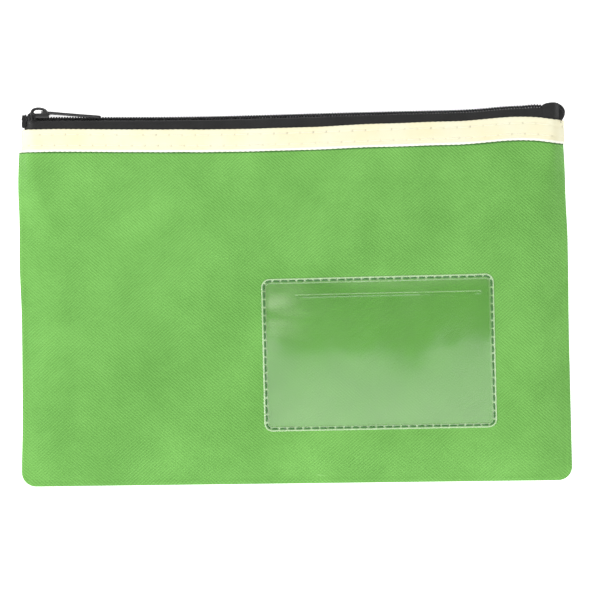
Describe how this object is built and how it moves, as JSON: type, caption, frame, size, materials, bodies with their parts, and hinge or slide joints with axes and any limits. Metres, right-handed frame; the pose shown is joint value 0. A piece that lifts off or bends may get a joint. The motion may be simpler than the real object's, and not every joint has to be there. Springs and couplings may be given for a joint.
{
  "type": "cash deposit bag",
  "caption": "Flat fabric deposit pouch with a bound mouth, a coil zip with slider and pull, and a clear card window on its front.",
  "frame": {"origin": "middle of the whole object's outline, on the surface that its back lies on", "axes": "+X along the zip from the slider's closed end, +Y from the bottom seam towards the zip, +Z out of the front face with the window"},
  "size_m": [0.235, 0.1628, 0.0093],
  "materials": {
    "green_fabric": "non-woven, embossed, slight sheen",
    "green_thread": "twisted sewing thread",
    "cream_binding": "smooth coated strip",
    "cream_thread": "twisted sewing thread",
    "zip_tape": "woven tape",
    "zip_coil": "nylon filament",
    "black_thread": "twisted thread",
    "slider_metal": "black enamel",
    "clear_sheet": "clear glossy soft sheet"
  },
  "bodies": {
    "bag": {"front_panel": "green_fabric", "back_panel": "green_fabric", "side_and_bottom_seam_thread": "green_thread", "window_sheet": "clear_sheet", "window_stitches": "green_thread", "front_binding": "cream_binding", "back_binding": "cream_binding", "front_binding_lower_stitches": "cream_thread", "front_binding_upper_stitches": "cream_thread", "back_binding_lower_stitches": "cream_thread", "back_binding_upper_stitches": "cream_thread", "front_zip_tape": "zip_tape", "back_zip_tape": "zip_tape", "front_coil": "zip_coil", "back_coil": "zip_coil", "front_filler_cord": "black_thread", "back_filler_cord": "black_thread", "front_coil_sewing_thread": "black_thread", "back_coil_sewing_thread": "black_thread", "left_tape_end": "zip_tape", "right_tape_end": "zip_tape"},
    "slider": {"slider_body": "slider_metal"},
    "pull": {"pull_tab": "slider_metal"}
  },
  "joints": [
    {"name": "slider_travel", "type": "slide", "parent": "bag", "child": "slider", "axis": [1, 0, 0], "range_m": [0, 0.2104], "deforming": ["front_coil", "back_coil"]},
    {"name": "pull_hinge", "type": "hinge", "parent": "slider", "child": "pull", "pos_m": [-0.1065, 0.07942, 0.0046], "axis": [0, 0, 1], "range_deg": [0, 180]}
  ]
}
